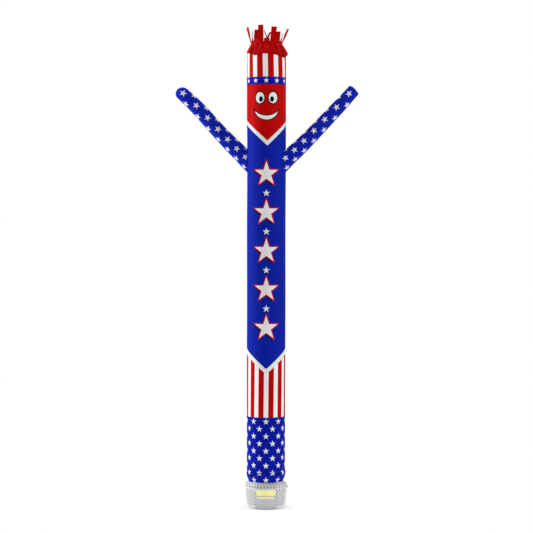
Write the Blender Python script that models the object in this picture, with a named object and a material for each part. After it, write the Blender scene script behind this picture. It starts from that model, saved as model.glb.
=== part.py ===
"""Inflatable air dancer, filled with air and standing on its blower.

Metres, +Z up. The figure faces -Y. The origin is the centre of the blower's underside, on the ground.
A bearing is an angle about +Z, counted from the front (-Y) towards +X.
"""
import math

import bmesh
import bpy
import numpy as np
from mathutils import Vector

for leftover in list(bpy.data.objects):
    bpy.data.objects.remove(leftover, do_unlink=True)

# Driving dimensions
GAP = 0.0003                # left open between pieces that touch
CLOTH = 0.002               # cloth wall, with its seams
SIDES = 48                  # facets around the tube
HEM_HEIGHT = 0.319
CINCH_HEIGHT = 0.337        # up to here the hem is tight around the blower's neck
LEG_TOP = 1.098             # seam between the star panel and the striped panel
BAND_BOTTOM = 5.042
BAND_TOP = 5.129
CAP_SEAM = 5.403            # this seam hangs lower at the right
CAP_SEAM_ROLL = 0.014
MOUTH_HEIGHT = 5.531
MOUTH_RADIUS = 0.187
LEAN = 0.0018               # sideways drift of the filled cloth for each metre above the cinch

# The filled tube: half its width at each height
TUBE_COLUMNS = ("height", "radius")
TUBE = (
    (HEM_HEIGHT, 0.2120),
    (CINCH_HEIGHT, 0.2120),
    (0.350, 0.2190),
    (0.366, 0.2205),
    (0.386, 0.2210),
    (0.400, 0.2265),
    (0.418, 0.2290),        # cloth bunched above the hem
    (0.462, 0.2285),
    (0.550, 0.2285),
    (1.100, 0.2290),
    (1.750, 0.2302),
    (4.250, 0.2308),
    (4.650, 0.2328),
    (5.120, 0.2328),
    (5.400, 0.2305),
)
LEG_RINGS = (CINCH_HEIGHT, 0.350, 0.366, 0.386, 0.400, 0.418, 0.438, 0.462, 0.500, 0.570)
BUNCH_HEIGHT = 0.432
BUNCH_REACH = 0.040
BUNCH_FOLDS = 7
BUNCH_FOLD_DEPTH = 0.0035
SLUMP = 0.0090              # how far the cloth just above the hem slumps to the right
SLUMP_HEIGHT = 0.368
SLUMP_REACH = 0.020


def tube_radius(height, bearing):
    """Read the table, and add the slump to one side and the soft creases of the bunched cloth."""
    heights, radii = np.array(TUBE).T
    radius = float(np.interp(height, heights, radii))
    clear = min(1.0, max(0.0, (height - CINCH_HEIGHT) / (BUNCH_HEIGHT - CINCH_HEIGHT)))
    crease = math.cos(BUNCH_FOLDS * bearing) + 0.6 * math.cos(4 * bearing + 1.1)
    bunched = math.exp(-(((height - BUNCH_HEIGHT) / BUNCH_REACH) ** 2)) * clear
    slumped = math.exp(-(((height - SLUMP_HEIGHT) / SLUMP_REACH) ** 2)) * min(1.0, clear * 8)
    return radius + BUNCH_FOLD_DEPTH * bunched * crease + SLUMP * slumped * math.sin(bearing)


def around(radius, bearing, height):
    """Give the point at a bearing, a distance from the axis and a height."""
    return (radius * math.sin(bearing), -radius * math.cos(bearing), height)


def bearings(count):
    return [2 * math.pi * step / count for step in range(count)]


def leaning(point):
    """Shear a point above the cinch a little sideways, as the filled cloth stands."""
    x, y, z = point
    return (x + LEAN * max(0.0, z - CINCH_HEIGHT), y, z)


# Finishes
def finish(name, colour, roughness):
    material = bpy.data.materials.new(name)
    material.use_nodes = True
    shader = material.node_tree.nodes["Principled BSDF"]
    shader.inputs["Base Color"].default_value = (*colour, 1.0)
    shader.inputs["Roughness"].default_value = roughness
    shader.inputs["Metallic"].default_value = 0.0
    material.diffuse_color = (*colour, 1.0)
    return material


BLUE = (0.008, 0.018, 0.30)
RED = (0.50, 0.005, 0.004)
WHITE = (0.82, 0.82, 0.80)
PALE_GREY = (0.58, 0.58, 0.59)
DARK_GREY = (0.12, 0.12, 0.12)
PALE_YELLOW = (0.90, 0.88, 0.42)


# Meshes
def add_object(name, points, faces, colour, roughness=0.6):
    """Make one closed body from points and faces, with its faces turned outwards."""
    mesh = bpy.data.meshes.new(name)
    form = bmesh.new()
    corners = [form.verts.new(leaning(point)) for point in points]
    for face in faces:
        form.faces.new([corners[index] for index in face])
    bmesh.ops.recalc_face_normals(form, faces=form.faces)
    form.to_mesh(mesh)
    form.free()
    mesh.shade_smooth()
    mesh.set_sharp_from_angle(angle=math.radians(40))
    mesh.materials.append(finish(name, colour, roughness))
    piece = bpy.data.objects.new(name, mesh)
    bpy.context.scene.collection.objects.link(piece)
    return piece


def grid_faces(rings, sides, looped):
    """Join each ring of points to the next one, and the last to the first if it is looped."""
    faces = []
    for ring in range(rings if looped else rings - 1):
        here, there = ring * sides, ((ring + 1) % rings) * sides
        for side in range(sides):
            step = (side + 1) % sides
            faces.append((here + side, here + step, there + step, there + side))
    return faces


def ring_body(name, rings, colour, roughness=0.6):
    """A wall that closes on itself: its rings go up the outside and down the inside."""
    sides = len(rings[0])
    points = [point for ring in rings for point in ring]
    return add_object(name, points, grid_faces(len(rings), sides, True), colour, roughness)


def capped_body(name, rings, first_pole, last_pole, colour, roughness=0.6):
    """Rings of points with a fan of faces to a single point at each end."""
    sides = len(rings[0])
    points = [point for ring in rings for point in ring] + [first_pole, last_pole]
    faces = grid_faces(len(rings), sides, False)
    last = (len(rings) - 1) * sides
    for side in range(sides):
        step = (side + 1) % sides
        faces.append((side, step, len(points) - 2))
        faces.append((last + side, last + step, len(points) - 1))
    return add_object(name, points, faces, colour, roughness)


# Seams: each gives its height at a bearing
def level(height):
    return lambda bearing: height


CAP_DROOP_COLUMNS = ("bearing in degrees", "half width in degrees", "depth")
CAP_DROOPS = ((-36, 16, 0.026), (58, 24, 0.026), (150, 16, 0.014), (-140, 14, 0.016))


def cap_seam(bearing):
    """The seam under the gathered cap, pulled down here and there by its folds."""
    height = CAP_SEAM - CAP_SEAM_ROLL * math.sin(bearing)
    for middle, half_width, depth in CAP_DROOPS:
        away = (math.degrees(bearing) - middle + 180) % 360 - 180
        height -= depth * math.exp(-((away / half_width) ** 2))
    return height


SINE_SHARE = 0.6            # 1 is a seam that looks straight from the front, 0 one cut straight
SEAM_COLUMNS = ("tip height", "rise to the sides", "turn in degrees")
POINTED_SEAMS = (
    (1.612, 0.240, 0.0),
    (1.675, 0.240, 0.0),
    (4.316, 0.260, 2.5),
    (4.377, 0.251, 2.5),
)


def pointed(tip, rise, turned):
    """A seam with a downward point at the front and at the back."""
    def height(bearing):
        turn = abs((bearing - math.radians(turned) + math.pi / 2) % math.pi - math.pi / 2)
        climb = SINE_SHARE * math.sin(turn) + (1 - SINE_SHARE) * turn / (math.pi / 2)
        return tip + rise * climb
    return height


def between(lower, upper, share):
    return lambda bearing: lower(bearing) * (1 - share) + upper(bearing) * share


def raised(seam, step):
    return lambda bearing: seam(bearing) + step


def tube_panel(name, lower, upper, middle, colour):
    """A panel of the tube between two seams; middle lists the seams' shares or levels between."""
    seams = [raised(lower, GAP / 2), *middle, raised(upper, -GAP / 2)]
    outside, inside = [], []
    for seam in seams:
        ring = [(bearing, seam(bearing)) for bearing in bearings(SIDES)]
        outside.append([around(tube_radius(h, b), b, h) for b, h in ring])
        inside.append([around(tube_radius(h, b) - CLOTH, b, h) for b, h in ring])
    return ring_body(name, outside + inside[::-1], colour)


hem = level(HEM_HEIGHT)
leg_seam = level(LEG_TOP)
chevron_seams = [pointed(*row) for row in POINTED_SEAMS[:2]]
collar_seams = [pointed(*row) for row in POINTED_SEAMS[2:]]
band_seams = [level(BAND_BOTTOM), level(BAND_TOP)]

tube_panel("leg_star_panel", hem, leg_seam, [level(height) for height in LEG_RINGS], BLUE)
tube_panel("stripe_panel", leg_seam, chevron_seams[0], [between(leg_seam, chevron_seams[0], 0.5)], RED)
tube_panel("lower_chevron", *chevron_seams, [], WHITE)
body = tube_panel(
    "body_panel", chevron_seams[1], collar_seams[0],
    [between(chevron_seams[1], collar_seams[0], share) for share in (0.3, 0.6, 0.85)], BLUE)
tube_panel("upper_chevron", *collar_seams, [], WHITE)
tube_panel("face_panel", collar_seams[1], band_seams[0], [between(collar_seams[1], band_seams[0], 0.5)], RED)
tube_panel("hat_band", *band_seams, [], BLUE)
tube_panel("hat_stripe_panel", band_seams[1], cap_seam, [between(band_seams[1], cap_seam, 0.5)], RED)

# Gathered cap: the cloth bulges over the seam and is drawn in, in pleats, to the open mouth
PLEATS = 16
CAP_SIDES = 2 * SIDES       # so that its lower edge follows the tube's facets
CAP_COLUMNS = ("share of height", "radius", "bulge to the right", "pleat depth")
CAP = (
    (0.00, 0.2305, 0.000, 0.000),
    (0.10, 0.2385, 0.005, 0.003),
    (0.25, 0.2442, 0.010, 0.005),
    (0.45, 0.2320, 0.010, 0.007),
    (0.70, 0.2130, 0.007, 0.007),
    (1.00, MOUTH_RADIUS, 0.000, 0.003),
)


def cap_ring(share, radius, bulge, depth, inset):
    """One ring of the cap's wall; a point between two of the tube's edges has their mean height."""
    ring = []
    half_facet = math.pi / SIDES
    for side, bearing in enumerate(bearings(CAP_SIDES)):
        fold = math.cos(PLEATS * bearing) + 0.35 * math.cos(5 * bearing + 0.8)
        reach = radius + bulge * math.sin(bearing) + depth * fold - inset
        beside = half_facet * (side % 2)
        low = (cap_seam(bearing - beside) + cap_seam(bearing + beside)) / 2 + GAP / 2
        ring.append(around(reach, bearing, low + (MOUTH_HEIGHT - low) * share))
    return ring


cap_outside = [cap_ring(*row, 0.0) for row in CAP]
cap_inside = [cap_ring(*row, CLOTH) for row in CAP]
ring_body("gathered_cap", cap_outside + cap_inside[::-1], RED)

# Hair: cut ribbons that stand on a narrow strip sewn around the mouth
STRIP_HEIGHT = 0.012
RIBBON_WIDTH = 0.066
RIBBON_LEVELS = 5
RIBBONS = 17
ROOT_SPREAD = math.radians(9.6)     # half the angle that a ribbon's root covers
HAIR_COLUMNS = ("top height", "outwards", "sideways", "twist")
HAIR = (                            # a row for each ribbon, from the front round by the right
    (5.592, 0.000, 0.002, 0.0),
    (5.725, 0.004, 0.023, 6.0),
    (5.670, 0.004, 0.006, 25.0),
    (5.664, 0.028, 0.000, -26.0),
    (5.712, 0.068, 0.000, 9.0),
    (5.640, 0.005, 0.000, 16.0),
    (5.668, -0.005, 0.000, 30.0),
    (5.662, 0.000, -0.004, -6.0),
    (5.715, 0.000, 0.062, 70.0),
    (5.698, 0.000, -0.081, 72.0),
    (5.680, 0.000, 0.006, 8.0),
    (5.676, -0.012, 0.000, -30.0),
    (5.644, -0.008, 0.000, -16.0),
    (5.731, 0.044, 0.000, -9.0),
    (5.683, 0.002, 0.000, 26.0),
    (5.691, 0.000, 0.017, -25.0),
    (5.745, 0.002, -0.003, -5.0),
)


def ribbon_corners(bearing, top, outwards, sideways, twist, share):
    """The four corners of a ribbon's section: it leans and twists as the share rises from 0 to 1."""
    out = Vector((math.sin(bearing), -math.cos(bearing), 0.0))
    along = Vector((math.cos(bearing), math.sin(bearing), 0.0))
    root = MOUTH_HEIGHT + GAP + STRIP_HEIGHT
    middle = out * (MOUTH_RADIUS - CLOTH / 2 + outwards * share) + along * (sideways * share)
    middle.z = root + (top - root) * share
    turn = math.radians(twist) * min(1.0, share * 2)
    across = along * math.cos(turn) + out * math.sin(turn)
    through = out * math.cos(turn) - along * math.sin(turn)
    across *= RIBBON_WIDTH / 2
    through *= CLOTH / 2
    return [middle - across + through, middle + across + through,
            middle + across - through, middle - across - through]


def hair_fringe():
    points, faces, columns = [], [], []
    low, high = MOUTH_HEIGHT + GAP, MOUTH_HEIGHT + GAP + STRIP_HEIGHT
    middles = bearings(RIBBONS)
    for middle in middles:
        for side in (-1, 1):
            bearing = middle + side * ROOT_SPREAD
            columns.append(len(points))
            for radius, height in ((MOUTH_RADIUS, low), (MOUTH_RADIUS - CLOTH, low),
                                   (MOUTH_RADIUS - CLOTH, high), (MOUTH_RADIUS, high)):
                points.append(around(radius, bearing, height))
    for index, here in enumerate(columns):
        there = columns[(index + 1) % len(columns)]
        for first, second in ((3, 0), (0, 1), (1, 2)):
            faces.append((here + first, there + first, there + second, here + second))
        root = [here + 3, there + 3, there + 2, here + 2]
        if index % 2:
            faces.append(root)
            continue
        for step in range(1, RIBBON_LEVELS + 1):
            section = list(range(len(points), len(points) + 4))
            corners = ribbon_corners(middles[index // 2], *HAIR[index // 2], step / RIBBON_LEVELS)
            points += [tuple(corner) for corner in corners]
            for side in range(4):
                turn = (side + 1) % 4
                faces.append((root[side], root[turn], section[turn], section[side]))
            root = section
        faces.append(root)
    return add_object("hair_fringe", points, faces, RED)


hair_fringe()

# Arms: tapered sleeves, closed at the hand, whose open root is sewn around a hole in the body
ARM_SIDES = 24
ARM_CLEARANCE = 0.0008
ARM_STATIONS = (0.0, 0.07, 0.16, 0.30, 0.55, 0.80)
ROOT_BLEND = 0.36           # distance over which the slanted root turns square to the arm
FLARE = 0.006
FLARE_REACH = 0.05
END_STEPS = 4
ARM_COLUMNS = ("name", "root", "hand", "shoulder radius", "hand radius", "squareness")
ARMS = (
    ("arm_left", (-0.2208, 0.055, 4.152), (-1.0620, 0.125, 5.002), 0.0960, 0.0770, 2.0),
    ("arm_right", (0.2180, -0.047, 4.135), (1.0560, -0.105, 4.987), 0.0975, 0.0735, 4.5),
)


class Arm:
    """A round tube along a straight line, with a superellipse for its closed end."""

    def __init__(self, root, hand, shoulder, wrist, squareness):
        self.root = Vector(root)
        self.length = (Vector(hand) - self.root).length
        self.along = (Vector(hand) - self.root) / self.length
        self.across = self.along.cross(Vector((0, 0, 1))).normalized()
        self.over = self.across.cross(self.along)
        self.shoulder, self.wrist, self.squareness = shoulder, wrist, squareness
        self.end = wrist if squareness <= 2 else wrist * 0.45

    def radius(self, distance):
        taper = self.shoulder + (self.wrist - self.shoulder) * max(0.0, distance) / self.length
        return taper + FLARE * math.exp(-max(0.0, distance) / FLARE_REACH)

    def point(self, distance, radius, turn):
        away = self.over * math.cos(turn) + self.across * math.sin(turn)
        return self.root + self.along * distance + away * radius

    def root_distance(self, turn, inset):
        """Where the line along the arm at this turn leaves the tube's outer face."""
        distance = 0.0
        for _ in range(6):
            start = self.point(0.0, self.radius(distance) - inset, turn)
            height = start.z + self.along.z * distance
            reach = tube_radius(height, 0.0) + ARM_CLEARANCE
            a = self.along.x ** 2 + self.along.y ** 2
            b = start.x * self.along.x + start.y * self.along.y
            c = start.x ** 2 + start.y ** 2 - reach ** 2
            distance = (-b + math.sqrt(b * b - a * c)) / a
        return distance

    def rings(self, inset):
        """Rings from the slanted root to the closed end, for the wall's face at this inset."""
        rings = []
        turns = bearings(ARM_SIDES)
        starts = [self.root_distance(turn, inset) for turn in turns]
        for station in ARM_STATIONS:
            slant = max(0.0, 1 - station / ROOT_BLEND)
            ring = []
            for turn, start in zip(turns, starts):
                distance = station + start * slant
                ring.append(tuple(self.point(distance, self.radius(distance) - inset, turn)))
            rings.append(ring)
        power = 2 / self.squareness
        for step in range(END_STEPS):
            swing = math.pi / 2 * step / END_STEPS
            distance = self.length - self.end + (self.end - inset) * math.sin(swing) ** power
            radius = (self.radius(distance) - inset) * math.cos(swing) ** power
            rings.append([tuple(self.point(distance, radius, turn)) for turn in turns])
        return rings

    def hand_point(self, inset):
        return tuple(self.root + self.along * (self.length - inset))

    def cutter(self, name):
        """A straight plug that opens the body's wall inside the arm."""
        radius = self.radius(0.0) - CLOTH
        ends = [[tuple(self.point(distance, radius, turn)) for turn in bearings(ARM_SIDES)]
                for distance in (-0.16, 0.16)]
        poles = [tuple(self.root + self.along * distance) for distance in (-0.16, 0.16)]
        plug = capped_body(name, ends, *poles, WHITE)
        plug.hide_render = True
        plug.display_type = 'WIRE'
        return plug


for name, *shape in ARMS:
    arm = Arm(*shape)
    outside, inside = arm.rings(0.0), arm.rings(CLOTH)
    capped_body(name, outside[::-1] + inside, arm.hand_point(0.0), arm.hand_point(CLOTH), BLUE)
    opening = body.modifiers.new(name + " opening", 'BOOLEAN')
    opening.operation = 'DIFFERENCE'
    opening.solver = 'EXACT'
    opening.object = arm.cutter(name + "_cutter")

# Blower: a moulded pot with a round neck that the hem is pulled over; the neck is open to a well
HOUSING_COLUMNS = ("radius", "height")
HOUSING = (
    (0.2000, 0.0),
    (0.2120, 0.006),
    (0.2200, 0.020),
    (0.2295, 0.048),
    (0.2535, 0.270),
    (0.2525, 0.286),
    (0.2440, 0.298),
    (0.2340, 0.302),
    (0.2095, 0.302),        # foot of the neck
    (0.2095, 0.345),
    (0.2065, 0.350),
    (0.1970, 0.350),
    (0.1930, 0.344),
    (0.1930, 0.060),        # floor of the well
)
WELL_FLOOR = 0.060

housing_rings = [[around(radius, b, height) for b in bearings(SIDES)] for radius, height in HOUSING]
capped_body("blower_housing", housing_rings, (0, 0, 0), (0, 0, WELL_FLOOR), PALE_GREY, 0.5)


def housing_radius(height):
    """The pot's tapered side, between its two rounded edges."""
    (low_radius, low), (high_radius, high) = HOUSING[3], HOUSING[4]
    return low_radius + (high_radius - low_radius) * (height - low) / (high - low)


def side_patch(name, turns, low, high, thickness, colour, roughness):
    """A thin plate that lies on the pot's side between two bearings and two heights."""
    points = []
    for turn in turns:
        for height in (low, high):
            for lift in (GAP, GAP + thickness):
                points.append(around(housing_radius(height) + lift, turn, height))
    faces = [(0, 1, 3, 2), tuple(len(points) - 4 + corner for corner in (0, 1, 3, 2))]
    for step in range(len(turns) - 1):
        here = step * 4
        for first, second in ((0, 1), (1, 3), (3, 2), (2, 0)):
            faces.append((here + first, here + second, here + 4 + second, here + 4 + first))
    return add_object(name, points, faces, colour, roughness)


def facet_bearings(half_turn, middle=0.0):
    """The ends of a patch, with the pot's own facet edges between them."""
    facet = 360 / SIDES
    inner = [step * facet for step in range(math.ceil((middle - half_turn) / facet),
                                            math.floor((middle + half_turn) / facet) + 1)]
    ends = {middle - half_turn, middle + half_turn}
    return [math.radians(turn) for turn in sorted(ends | set(inner))]


LABEL_THICKNESS = 0.001
side_patch("front_label", facet_bearings(26.9), 0.172, 0.242, LABEL_THICKNESS, PALE_YELLOW, 0.4)
side_patch("lower_label", facet_bearings(23.9), 0.133, 0.154, LABEL_THICKNESS, PALE_YELLOW, 0.4)

BRACKET_THICKNESS = 0.007
BRACKET_MIDDLE = 86.0
side_patch("side_bracket", facet_bearings(24.0, BRACKET_MIDDLE), 0.050, 0.264, BRACKET_THICKNESS, PALE_GREY, 0.5)

KNOB_RADIUS = 0.011
KNOB_LENGTH = 0.008
KNOB_HEIGHT = 0.246
KNOB_SIDES = 16


def knob():
    """A short round knob with a bevelled front edge, on the bracket's outer face."""
    face = housing_radius(KNOB_HEIGHT + KNOB_RADIUS) + BRACKET_THICKNESS + 2 * GAP
    outline = ((KNOB_RADIUS, 0.0), (KNOB_RADIUS, KNOB_LENGTH - 0.003), (KNOB_RADIUS - 0.003, KNOB_LENGTH))
    rings = []
    for radius, out in outline:
        rings.append([(face + out, radius * math.cos(turn), KNOB_HEIGHT + radius * math.sin(turn))
                      for turn in bearings(KNOB_SIDES)])
    poles = [(face + out, 0.0, KNOB_HEIGHT) for out in (0.0, KNOB_LENGTH)]
    return capped_body("switch_knob", rings, *poles, DARK_GREY, 0.5)


knob()
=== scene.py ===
import math

import bmesh
import bpy
import numpy as np
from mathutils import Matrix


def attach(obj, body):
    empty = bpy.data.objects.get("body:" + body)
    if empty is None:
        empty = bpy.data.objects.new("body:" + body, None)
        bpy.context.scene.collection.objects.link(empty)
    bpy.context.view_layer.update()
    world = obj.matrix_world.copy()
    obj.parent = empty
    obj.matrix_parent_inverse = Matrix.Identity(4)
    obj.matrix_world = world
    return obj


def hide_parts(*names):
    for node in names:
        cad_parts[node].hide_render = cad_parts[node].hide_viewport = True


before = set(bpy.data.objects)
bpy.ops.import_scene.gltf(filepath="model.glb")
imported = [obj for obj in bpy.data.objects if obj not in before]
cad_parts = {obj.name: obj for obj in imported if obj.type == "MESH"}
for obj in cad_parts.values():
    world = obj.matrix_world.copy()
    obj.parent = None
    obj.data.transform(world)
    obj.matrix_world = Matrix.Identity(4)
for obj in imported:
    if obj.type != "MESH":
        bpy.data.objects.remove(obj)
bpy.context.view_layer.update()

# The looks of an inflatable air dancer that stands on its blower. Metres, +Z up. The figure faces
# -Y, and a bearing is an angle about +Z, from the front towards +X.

# LEG STAR PANEL
# The lowest panel of the tube: light woven nylon, dark blue with printed white stars. Its hem is
# pulled over the blower's neck and gathered tight there, so the cloth above it is creased and slack.
AROUND = 240                # columns of the cloth's mesh around the tube
CLOTH = 0.0012              # thickness of the nylon with its coating
SEAM_GAP = 0.00015          # each panel stops this far from the middle of its seam
PRINT_RADIUS = 0.2295       # the tube's half width that a print's width is laid out on
HEM_HEIGHT = 0.319
LEG_TOP = 1.098
CINCH_HEIGHT = 0.337
LEAN = 0.0018               # sideways drift of the cloth for each metre above the cinch
TUBE = (                    # height, half width
    (0.319, 0.2120), (0.337, 0.2120), (0.350, 0.2215), (0.366, 0.2250), (0.386, 0.2285),
    (0.402, 0.2320), (0.420, 0.2310), (0.450, 0.2280), (0.550, 0.2285), (1.100, 0.2290),
    (1.750, 0.2302), (4.250, 0.2308), (4.650, 0.2328), (5.120, 0.2328), (5.400, 0.2305),
)
# Dents of the slack cloth above the hem, in degrees and metres: bearing, height, tilt, half length,
# half width, depth
CREASES = (
    (-16.0, 0.438, 10.0, 0.048, 0.008, 0.0115),
    (-2.0, 0.456, -14.0, 0.036, 0.008, 0.0105),
    (16.0, 0.440, 12.0, 0.040, 0.008, 0.0100),
    (-56.0, 0.400, -6.0, 0.046, 0.008, 0.0150),
    (-36.0, 0.416, 14.0, 0.034, 0.007, 0.0090),
    (-42.0, 0.458, -18.0, 0.036, 0.008, 0.0070),
    (44.0, 0.424, 16.0, 0.042, 0.008, 0.0120),
    (66.0, 0.462, -14.0, 0.040, 0.008, 0.0120),
    (24.0, 0.396, -12.0, 0.036, 0.007, 0.0085),
    (60.0, 0.388, -8.0, 0.034, 0.007, 0.0095),
    (104.0, 0.430, 12.0, 0.060, 0.009, 0.0120),
    (132.0, 0.458, -16.0, 0.040, 0.008, 0.0090),
    (154.0, 0.414, -13.0, 0.050, 0.008, 0.0125),
    (-88.0, 0.440, 15.0, 0.050, 0.009, 0.0110),
    (-112.0, 0.410, -12.0, 0.044, 0.008, 0.0110),
    (-140.0, 0.434, 10.0, 0.055, 0.009, 0.0115),
    (-172.0, 0.446, -15.0, 0.046, 0.008, 0.0095),
)
# The bunched cloth's soft folds, and its slump at the right: middle height, half height, depth
BUNCHED = (0.432, 0.040, 0.0030)
SLUMPED = (0.418, 0.022, 0.006)
BUNCHED_CLEAR = 0.095       # how far above the cinch the folds are clear of it


def bell(away, half_width):
    """1 in the middle, and e to minus the square of the half widths that a place is away from it."""
    return np.exp(-(away / half_width) ** 2)


def tube_radius(height, bearing):
    """Half the filled tube's width: the table's line, plus the bunched cloth's soft folds around
    it, plus its slump at the right by the bearing's sine, both bells of the height."""
    heights, widths = np.array(TUBE).T
    clear = np.clip((height - CINCH_HEIGHT) / BUNCHED_CLEAR, 0.0, 1.0)
    folds = np.cos(7 * bearing) + 0.6 * np.cos(4 * bearing + 1.1)
    bunched = bell(height - BUNCHED[0], BUNCHED[1]) * clear
    slumped = bell(height - SLUMPED[0], SLUMPED[1]) * np.clip(np.sin(bearing), 0.0, None)
    return np.interp(height, heights, widths) + BUNCHED[2] * bunched * folds + SLUMPED[2] * slumped


def gathers(height, bearing):
    """Relief of the cinched hem: fine upright folds that fade upwards from the cinch, and the
    table's dents, each a bell along and a narrower bell across its own tilted line."""
    above = np.clip(height - CINCH_HEIGHT, 0.0, None)
    fine = np.cos(34 * bearing + 2.0 * np.sin(3 * bearing)) + 0.5 * np.cos(53 * bearing + 0.7)
    relief = 0.0032 * fine * np.exp(-above / 0.036) * np.minimum(1.0, above / 0.010)
    for middle, level, tilt, half_length, half_width, depth in CREASES:
        away = (bearing - math.radians(middle) + math.pi) % (2 * math.pi) - math.pi
        turn = math.radians(tilt)
        along = away * PRINT_RADIUS * math.cos(turn) + (height - level) * math.sin(turn)
        across = (height - level) * math.cos(turn) - away * PRINT_RADIUS * math.sin(turn)
        relief = relief - depth * np.exp(-(along / half_length) ** 2 - (across / half_width) ** 2)
    return relief * np.clip((height - CINCH_HEIGHT) / 0.020, 0.0, 1.0)


def puckers(bearing, away):
    """Relief beside a sewn seam: uneven waves around the tube that die away from the seam, and
    the narrow roll where the panel's edge turns in to the seam."""
    waves = (np.sin(31 * bearing + 1.3 * np.sin(4 * bearing)) + 0.7 * np.sin(47 * bearing + 2.0)
             + 0.5 * np.sin(19 * bearing + 0.4))
    ripple = 0.0008 * waves * np.exp(-away / 0.030) * (1 - bell(away, 0.006))
    return ripple - 0.0018 * bell(away, 0.0028)


def slack(height, bearing):
    """Relief of cloth held up by air alone: very long, shallow waves up and around the tube."""
    return (0.0011 * np.sin(3 * bearing + 2.1 * height) * np.sin(1.9 * height + 0.6)
            + 0.0007 * np.sin(5 * bearing - 3.3 * height + 1.0))


def around(radius, bearing, height, lean=0.0):
    """The point at a radius and bearing about the axis: x by the bearing's sine and y by its
    cosine, with x moved on by the lean for each metre above the cinch."""
    drift = lean * np.maximum(0.0, height - CINCH_HEIGHT)
    across, back = radius * np.sin(bearing) + drift, -radius * np.cos(bearing)
    return np.stack(np.broadcast_arrays(across, back, height), axis=-1)


def pair(first, second):
    """Two arrays, each spread to the other's shape, side by side as a UV map's numbers."""
    return np.stack(np.broadcast_arrays(first, second), axis=-1)


def tube_point(height, bearing, to_seam, inset):
    """The point of the tube's cloth at a height and bearing: the tube's radius with all its
    relief, less the inset, carried round the axis and leaned to the right with height."""
    radius = tube_radius(height, bearing) + gathers(height, bearing)
    radius = radius + puckers(bearing, to_seam) + slack(height, bearing) - inset
    return around(radius, bearing, height, LEAN)


def seam_levels(lower, upper, spacing):
    """Heights of a panel's mesh rows: close together beside both seams, evenly spaced between."""
    beside = np.array([0.0, 0.0012, 0.0026, 0.0045, 0.0075, 0.012, 0.018, 0.026, 0.036, 0.050])
    room = float((upper - lower).min())
    beside = beside[beside < room * 0.45]
    low = lower + SEAM_GAP + beside[:, None]
    high = upper - SEAM_GAP - beside[::-1, None]
    count = max(2, int(float((upper - lower).max()) / spacing))
    share = (np.arange(1, count) / count)[:, None]
    middle = low[-1] * (1 - share) + high[0] * share
    return np.concatenate([low, middle, high])


def loop_faces(rows, columns, rows_meet):
    """Corner numbers of a grid's faces: the columns close on themselves, and the rows may."""
    row = np.arange(rows if rows_meet else rows - 1)[:, None]
    column = np.arange(columns)[None, :]
    here, there = row * columns, ((row + 1) % rows) * columns
    right = (column + 1) % columns
    return np.stack([here + column, here + right, there + right, there + column], axis=-1)


def loop_corners(values, rows_meet):
    """A grid's values at each face's corners. The grid has one column more than the mesh, so that
    a print runs on across the last face instead of going back to its start."""
    above = np.roll(values, -1, axis=0)
    if not rows_meet:
        values, above = values[:-1], above[:-1]
    return np.stack([values[:, :-1], values[:, 1:], above[:, 1:], above[:, :-1]], axis=2)


def made_piece(name, points, faces, finish, maps=None, sharp=50.0, joined=False):
    """Make a piece from arrays of points and faces, with a UV map for each named list of corners.
    Where it is joined, points that meet in one place become one."""
    mesh = bpy.data.meshes.new(name)
    lists = [face.reshape(-1, face.shape[-1]).tolist() for face in faces]
    mesh.from_pydata(points.reshape(-1, 3).tolist(), [], sum(lists, []))
    for layer, corners in (maps or {}).items():
        flat = np.concatenate([corner.reshape(-1, 2) for corner in corners])
        mesh.uv_layers.new(name=layer).data.foreach_set("uv", flat.astype(np.float32).ravel())
    if joined:
        form = bmesh.new()
        form.from_mesh(mesh)
        bmesh.ops.remove_doubles(form, verts=form.verts, dist=0.00001)
        form.to_mesh(mesh)
        form.free()
    mesh.shade_smooth()
    mesh.set_sharp_from_angle(angle=math.radians(sharp))
    mesh.materials.append(finish)
    piece = bpy.data.objects.new(name, mesh)
    bpy.context.scene.collection.objects.link(piece)
    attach(piece, "root")
    return piece


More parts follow.
